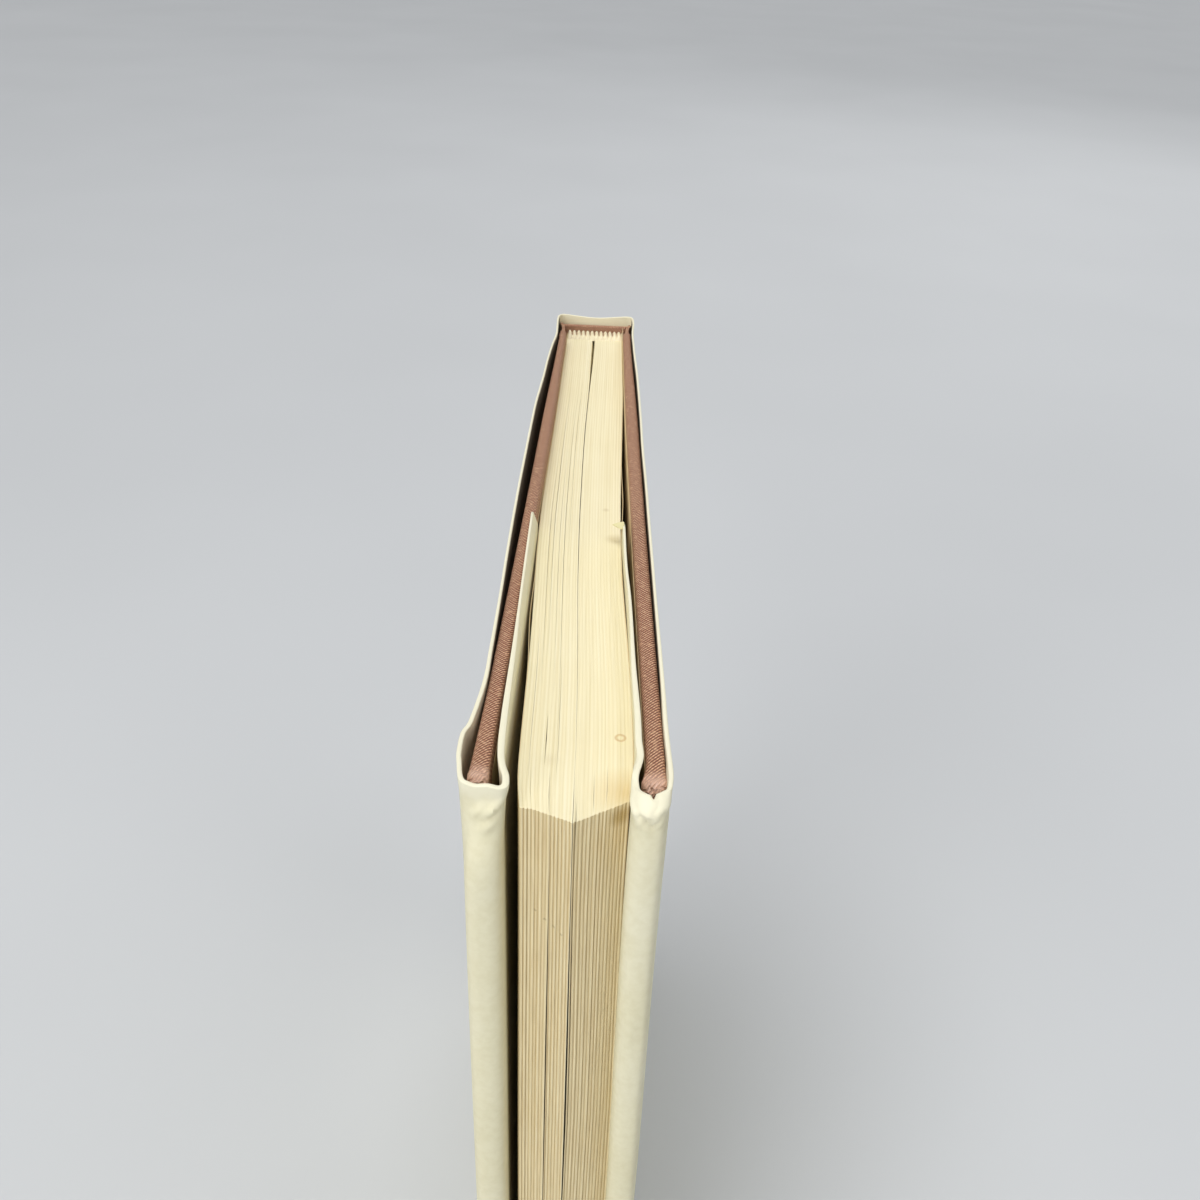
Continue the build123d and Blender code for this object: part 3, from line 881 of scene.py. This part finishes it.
def spine_wrap():
    """The cloth over the spine strip, turned in at head and tail, with the strip left in its pocket."""
    head, half, inner, outer = board_top - 1.6, 9.0, 177.45, 178.42
    data = bmesh.new()
    box(data, (-half, inner, 1.0), (half, outer, head))
    round_edges(data, data.edges[:], 0.45, 4)
    cut_across(data, 2, [turn_in, 60, 120, 180, head - turn_in])
    cut_across(data, 0, [-6, -3, 0, 3, 6])
    window = [f for f in data.faces if f.calc_center_median().y < inner + 0.01
              and turn_in < f.calc_center_median().z < head - turn_in]
    bmesh.ops.delete(data, geom=window, context="FACES")
    lay_flat(data)
    grow_inward(data, cloth)
    return make_piece("spine_cloth_wrap", data, [cloth_finish], "block_and_spine",
                      ["spine_cloth"])


def spine_stiffener():
    """The thin board strip in the spine cloth's pocket."""
    data = bmesh.new()
    box(data, (-8.2, 177.69, 1.6), (8.2, 178.19, board_top - 2.2))
    round_edges(data, data.edges[:], 0.12)
    return make_piece("spine_strip_board", data, [board_finish], "block_and_spine",
                      ["spine_strip"])


def joint_cloth(cover):
    """Cloth from a cover's board, down into the joint and up to the corner of the spine."""
    start = abs(cover.x(cover.thickness - 0.3, board_spine_edge - 1.0))
    line = [(start, board_spine_edge - 1.0), (start - 0.1, board_spine_edge + 0.8), (8.5, 171.0),
            (8.3, 173.0), (8.5, 175.4), (8.85, 176.8), (8.95, 177.8)]
    x_curve, y_curve = curves(even_steps(line), line)
    columns = 30
    z_places = spaced([1.0, 60.0, 120.0, 180.0, 240.0, board_top - 1.2], 20.0)
    data, places = grid(columns, len(z_places) - 1)
    for vertex, column, row in places:
        along = column / columns
        vertex.co = (cover.side * through(x_curve, along), through(y_curve, along), z_places[row])
    lay_flat(data)
    give_thickness(data, 0.8)
    obj = make_piece(cover.name + "_joint_cloth", data, [cloth_finish], None,
                     ["spine_cloth"])
    blend_at_hinge(obj, cover)
    return obj


# Jacket

# The middle of the paper in plan, as (x, y). The panels start behind the spine, turn its corner and
# follow the board.
panel_lines = {
    "front": [(0, 178.4), (-6, 178.4), (-9.1, 178.3), (-9.7, 177.6), (-9.85, 176.5), (-9.9, 173),
              (-9.75, 167), (-9.85, 162.7), (-10.35, 157.7), (-11.1, 146), (-11.4, 138), (-11.8, 130),
              (-12.3, 121), (-12.55, 111), (-12.85, 95), (-13.1, 80)],
    "back": [(0, 178.4), (6, 178.4), (9.1, 178.3), (9.7, 177.6), (9.85, 176.5), (9.9, 173), (9.6, 167),
             (9.75, 160), (9.95, 152), (10.35, 141), (10.6, 130), (10.85, 115), (11.0, 100),
             (11.35, 85), (11.6, 70), (11.9, 54), (12.1, 43), (12.35, 31), (12.55, 20)]}
# From there the paper wraps the board and comes in as a flap: at the head edge it follows one line, and
# lower down, where it lies on the cover, another.
head_wraps = {
    "front": [(-13.25, 60), (-13.25, 42), (-13.35, 28), (-13.5, 20), (-14.5, 11.3), (-15.28, 8.9),
              (-15.36, 4.9), (-15.07, 2.8), (-14.75, 0.8), (-14.2, -0.6), (-13.2, -1.0), (-12.4, -1.15),
              (-11.3, -1.3), (-9.9, -1.4), (-9.0, -1.1), (-8.78, -0.4), (-8.9, 0.9), (-9.4, 2.4),
              (-9.85, 4.8), (-10.05, 8), (-10.1, 12), (-10.1, 16), (-9.95, 31), (-9.93, 54),
              (-9.85, 73.5)],
    "back": [(12.65, 12), (12.86, 6.3), (13.02, 3.1), (12.95, 1.2), (12.6, -0.6), (11.9, -1.2),
             (11.1, -1.7), (10.1, -1.95), (9.4, -1.6), (8.75, -0.75), (8.47, 0.3), (8.42, 2.0),
             (9.0, 4.5), (9.15, 6.0), (8.95, 8.6), (8.9, 12.5), (8.75, 17), (8.35, 26), (7.92, 43),
             (7.3, 54.8), (7.0, 68.9)]}
body_wraps = {
    "front": [(-13.3, 60), (-13.35, 45), (-13.5, 30), (-13.75, 20), (-13.95, 15), (-14.15, 12),
              (-14.35, 8), (-14.4, 5), (-14.42, 2), (-14.38, 0), (-14.3, -1.6), (-13.8, -3.0),
              (-13.1, -3.45), (-12.3, -3.6), (-10.9, -3.5), (-9.8, -2.9), (-9.3, -1.6), (-9.2, 0.4),
              (-9.3, 3.5), (-9.4, 6.5), (-9.45, 11), (-9.4, 16), (-9.2, 31), (-9.0, 54), (-8.85, 73.5)],
    "back": [(12.62, 12), (12.7, 7), (12.75, 3), (12.7, 0), (12.5, -2.2), (11.8, -3.8), (10.6, -4.2),
             (9.3, -4.1), (8.3, -3.4), (7.95, -2.0), (8.05, -0.3), (8.3, 1.8), (8.45, 4), (8.55, 6),
             (8.62, 9), (8.65, 13), (8.5, 19), (8.3, 27), (7.88, 43), (7.4, 56), (7.0, 68.9)]}
spine_turn = 3               # the point where the sheet over the spine ends and a cover's sheet begins
corner_radius = {"front": 2.0, "back": 0.5}   # of each flap's free corner
panel_inside = 10.6          # near the fore-edge the flaps lie inside this X, and the panels outside it
# Heights between which the paper's rows are spaced, closest at the head
z_knots = [0.0, 1.5, 8.0, 60.0, 120.0, 196.0, 212.0, 220.0, 240.0, 250.0, 253.0, 255.5, 257.4, 258.6,
           259.6, 260.4, 261.0, 261.6, jacket_top]


def rounded_off(radius, from_edge):
    """How much of the paper's height a round corner takes, at a distance from the free edge."""
    if from_edge >= radius:
        return 0.0
    return radius - math.sqrt(max(0.0, radius ** 2 - (radius - from_edge) ** 2))


def jacket_z_top(cover, x, y, from_free_edge):
    """The jacket's head edge: rounded flap corner, and dips where the wrap is knocked."""
    top = jacket_top - rounded_off(corner_radius[cover.name], from_free_edge)
    if cover.side > 0:
        top -= 0.35 * math.exp(-((x - 10.6) / 0.35) ** 2) * smooth(-y)
        top -= 0.45 * math.exp(-((x - 8.5) / 0.6) ** 2) * smooth((3 - y) / 3)
    else:
        top -= 0.18 * math.sin(x * 1.9 + 0.4) * smooth((1 - y) / 3)
    return top


def jacket_crumple(cover, x, y, z):
    """How far the paper of a wrap is pushed in or out by its creases."""
    push = 0.0
    if cover.side < 0 and y < -0.5:
        # Diagonal folds run down from the inner corner of the front wrap
        for start_x, start_z, slope, length, depth in (
                (-9.0, 259.6, 0.9, 3.2, 0.66), (-9.4, 257.0, 0.75, 3.0, 0.52),
                (-11.0, 259.2, 1.1, 2.4, 0.42)):
            along = start_x - x
            line = start_z - slope * along
            if -0.3 < along < length:
                swell = math.sin(math.pi * (along + 0.3) / (length + 0.3))
                push += depth * math.exp(-((z - line) / 0.7) ** 2) * swell
    if cover.side > 0 and y < -0.5:
        # Small hard creases fill the knocked head corner, and one lies across the wrap lower down
        fold = smooth((z - 257.0) / 1.5) * smooth((261.2 - z) / 0.6)
        push += 0.24 * fold * math.sin(2.3 * x + 1.7 * z) + 0.12 * fold * math.sin(4.9 * x - 3.1 * z)
        crease = 214.6 + 0.55 * (x - 11.4)
        push -= 0.35 * math.exp(-((z - crease) / 0.5) ** 2) * smooth((x - 9.8) / 1.6)
        push += 0.22 * math.exp(-((z - crease + 1.3) / 0.9) ** 2) * smooth((x - 10.4) / 1.6)
    return push


def jacket_share(cover, z, along, wrap_start, flap_start):
    """How far a height belongs to the head line: the fore-edge wraps lean back over the last stretch."""
    panel = smooth((z - 246.0) / 16.0)
    if cover.side < 0:
        slow = max(0.0, (z - 170.0) / 92.0) ** 3.5
        rolled = 0.35 * smooth((z - 253.0) / 9.0) + 0.65 * clamp((z - 260.0) / 2.0)
        share = mix(slow, panel, smooth((along - wrap_start) / 10.0))
        return mix(share, rolled, smooth((along - flap_start) / 4.0))
    # The lip of the back wrap stands upright to a crease, and then lies nearly flat back to the rim
    lip = mix(0.12 * smooth((z - 252.0) / 8.0), 1.0, clamp((z - 260.6) / 1.4) ** 1.3)
    flap = clamp((z - 258.2) / 3.6)
    if along >= flap_start:
        return mix(lip, flap, smooth((along - flap_start) / 3.0))
    return mix(panel, lip, smooth((along - wrap_start) / 3.0))


def paper_grid(u_places, z_places):
    """A grid for the jacket's paper, with marks for painted shade inside the panels and for painted light on
    its pale head rim.
    """
    data, places = grid(len(u_places) - 1, len(z_places) - 1, ["painted_gap_shade", "rim"])
    painted_rim_light_layer = data.verts.layers.float["rim"]
    for vertex, _, row in places:
        vertex[painted_rim_light_layer] = smooth((z_places[row] - 258.5) / 3.0)
    return data, places


def run_lengths(points):
    """Lengths along a line of (x, y) points, from its start."""
    knots = [0.0]
    for (x0, y0), (x1, y1) in zip(points, points[1:]):
        knots.append(knots[-1] + math.hypot(x1 - x0, y1 - y0))
    return knots


def swell_rim(data, cover):
    """Handling has swollen the rim at the head corner, most on the side towards the leaves."""
    data.normal_update()
    for vertex in data.verts:
        height = smooth((vertex.co.z - 258.8) / 2.6)
        near = smooth((48.0 - vertex.co.y) / 40.0)
        if height > 0 and near > 0:
            flat = Vector((vertex.normal.x, vertex.normal.y, 0.0))
            off_middle = smooth((abs(12.3 - abs(vertex.co.x)) - 0.6) / 1.2)
            towards_leaves = max(0.0, -cover.side * flat.x) * off_middle
            on_flap = towards_leaves if abs(vertex.co.x) < panel_inside else 0.0
            vertex.co += flat * height * near * (0.10 + 0.26 * on_flap)


def paint_gap_shade(data, cover):
    """Mark painted shade on the inside of the panel, where it faces the board's cloth, below the rim and
    back from the fore-edge.
    """
    data.normal_update()
    gap_shade_layer = data.verts.layers.float["painted_gap_shade"]
    for vertex in data.verts:
        on_panel = abs(vertex.co.x) > panel_inside or vertex.co.y > 80
        if on_panel and -cover.side * vertex.normal.x > 0.3:
            under_rim = smooth((jacket_top - 0.25 - vertex.co.z) / 0.5)
            vertex[gap_shade_layer] = smooth((vertex.co.y - 14.0) / 9.0) * under_rim


def jacket_half(cover):
    """Half of the jacket: from the spine corner over the board, round its fore-edge and in as a flap."""
    panel = panel_lines[cover.name][spine_turn:]
    head = panel + head_wraps[cover.name]
    body = panel + body_wraps[cover.name]
    knots = run_lengths(body)
    u_places = spaced(knots, 2.5, 3, 8)
    z_places = spaced(z_knots, 3.5, 3, 12)
    head_x, head_y = curves(knots, head)
    body_x, body_y = curves(knots, body)
    data, places = paper_grid(u_places, z_places)
    foremost = min(range(len(body)), key=lambda i: body[i][1])
    wrap_start = knots[max(i for i in range(foremost) if body[i][1] > 4)]
    flap_start = knots[min(i for i in range(foremost, len(body)) if body[i][1] > 3)]
    for vertex, column, row in places:
        u, z = u_places[column], z_places[row]
        share = jacket_share(cover, z, u, wrap_start, flap_start)
        x = mix(through(body_x, u), through(head_x, u), share)
        y = mix(through(body_y, u), through(head_y, u), share)
        from_free = knots[-1] - u
        top = jacket_z_top(cover, x, y, from_free)
        foot = rounded_off(corner_radius[cover.name], from_free)
        z_new = foot + (z / jacket_top) * (top - foot)
        if cover.side > 0 and y < 20:
            # Lower down the wrap leans out with the cover
            x += 0.8 * smooth((246.0 - z) / 90.0) * smooth((20 - y) / 10.0)
            y -= 0.9 * math.exp(-((x - 10.6) / 0.3) ** 2) * smooth((z - 260.8) / 1.0) * smooth(-y)
        y -= jacket_crumple(cover, x, y, z_new)
        vertex.co = (x, y, z_new)
    give_thickness(data, jacket_paper, 0.15)
    swell_rim(data, cover)
    paint_gap_shade(data, cover)
    obj = make_piece(cover.name + "_jacket_sheet", data, [jacket_finish], None,
                     [cover.name + "_jacket"], 50)
    blend_at_hinge(obj, cover)
    return obj


def torn_chip():
    """A torn corner of the back flap, bent over onto the leaves."""
    data = bmesh.new()
    corners = [(7.05, 69.0, 261.9), (4.94, 69.5, 261.4), (6.5, 67.2, 261.4), (7.1, 67.4, 261.8)]
    data.faces.new([data.verts.new(corner) for corner in corners])
    bmesh.ops.subdivide_edges(data, edges=data.edges[:], cuts=4, use_grid_fill=True)
    for vertex in data.verts:
        away = max(0.0, 7.0 - vertex.co.x)
        vertex.co.z -= 0.12 * away ** 2 - 0.05 * math.sin(3.0 * vertex.co.y)
    give_thickness(data, 0.2)
    return make_piece("torn_flap_chip", data, [chip_finish], "back_cover", [])


def jacket_over_spine():
    """The jacket across the back of the book, between the two spine corners."""
    half = panel_lines["back"][:spine_turn + 1]
    points = [(-x, y) for x, y in reversed(half[1:])] + half
    knots = run_lengths(points)
    x_curve, y_curve = curves(knots, points)
    u_places = spaced(knots, 1.0, 3, 8)
    z_places = spaced(z_knots, 3.5, 3, 12)
    data, places = paper_grid(u_places, z_places)
    for vertex, column, row in places:
        u, z = u_places[column], z_places[row]
        x = through(x_curve, u)
        y = through(y_curve, u)
        # It stands off the cloth, and the middle of the rim sags a little
        y += 0.4 * smooth((9.7 - abs(x)) / 1.0)
        vertex.co = (x, y, z * (1 - 0.0026 * smooth(1 - abs(x) / 9.7)))
    give_thickness(data, jacket_paper, 0.15)
    return make_piece("spine_jacket_sheet", data, [jacket_finish], "block_and_spine",
                      ["jacket_spine"], 50)


# Studio

def add_lamp(light, place, aim):
    """Hang a light at a place, turned towards another."""
    lamp = bpy.data.objects.new(light.name, light)
    lamp.location = place
    lamp.rotation_euler = (Vector(aim) - Vector(place)).to_track_quat("-Z", "Y").to_euler()
    bpy.context.scene.collection.objects.link(lamp)


def studio():
    """A pale floor and soft light from above."""
    data = bmesh.new()
    bmesh.ops.create_grid(data, x_segments=2, y_segments=2, size=12.0)
    mesh = bpy.data.meshes.new("floor")
    data.to_mesh(mesh)
    data.free()
    mesh.materials.append(studio_floor())
    floor = bpy.data.objects.new("floor", mesh)
    bpy.context.scene.collection.objects.link(floor)
    # A wide soft box overhead: as a sun whose disc spans 43 degrees it lights the floor evenly
    overhead = bpy.data.lights.new("overhead", "SUN")
    overhead.angle = math.radians(43)
    overhead.energy = 1.98
    add_lamp(overhead, (-0.45, -0.35, 2.6), (0.0, 0.0, 0.1))
    # Smaller soft boxes: (name, place, diameter in metres, watts)
    for name, place, size, power in (
            ("fill", (-0.8, -1.3, 0.9), 1.0, 11.0),
            ("top right", (0.7, -0.5, 1.5), 0.7, 3.6),
            ("behind", (0.9, 1.6, 1.3), 1.2, 6.0)):
        light = bpy.data.lights.new(name, "AREA")
        light.shape = "DISK"
        light.size = size
        light.energy = power
        add_lamp(light, place, (0.0, 0.0, 0.2))
    world = bpy.data.worlds.new("studio")
    world.use_nodes = True
    tree = world.node_tree
    sky = tree.nodes["Background"]
    split = add(tree, "SeparateXYZ", links={"Vector": add(tree, "TexCoord").outputs["Generated"]})
    # The room is pale at the horizon and darker overhead
    walls = ramp(tree, split.outputs["Z"],
                 [(0.0, "#F0F1F2"), (0.12, "#D9DBDD"), (0.5, "#7E8184"), (1.0, "#6E7174")])
    tree.links.new(walls, sky.inputs["Color"])
    sky.inputs["Strength"].default_value = 0.6
    bpy.context.scene.world = world
    bpy.context.scene.view_settings.view_transform = "Standard"


def camera():
    """A phone held above and in front of the fore-edge, looking down at the head.

    Its directions and place are solved from the straight edges of the leaves and the jacket."""
    view = bpy.data.cameras.new("camera")
    view.sensor_fit = "HORIZONTAL"
    view.sensor_width = 36.0
    view.lens = 33.0
    view.clip_start = 0.01
    right = Vector((0.99913, 0.01415, 0.03934))
    up = Vector((-0.04058, 0.55476, 0.83102))
    back = Vector((-0.01006, -0.83190, 0.55484))
    turn = Matrix((right, up, back)).transposed().to_4x4()
    eye = to_frame @ Vector((1.2046, -105.928, 361.28))
    holder = bpy.data.objects.new("camera", view)
    holder.matrix_world = Matrix.Translation(eye) @ turn
    bpy.context.scene.collection.objects.link(holder)
    bpy.context.scene.camera = holder


def finish_hidden_nodes():
    """Materials for what the case hides: the linings on the back of the leaves."""
    for name, finish in (("spine_gauze", gauze_finish), ("spine_lining", kraft_finish)):
        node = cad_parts[name]
        node.data.materials.clear()
        node.data.materials.append(finish)


leaf_stack()
end_band("head_band_stitches", "head_band", leaf_top, 1)
end_band("tail_band_stitches", "tail_band", leaf_bottom, -1)
free_endleaf(FRONT, gape_middle=44.0, gape_reach=16.0, gape_width=0.35)
free_endleaf(BACK, gape_middle=84.0, gape_reach=18.0, gape_width=0.40)
for cover in (FRONT, BACK):
    pasted_endpaper(cover)
    stiff_board(cover)
    cloth_wrap(cover)
    jacket_half(cover)
    joint_cloth(cover)
spine_wrap()
spine_stiffener()
jacket_over_spine()
torn_chip()
finish_hidden_nodes()
studio()
camera()
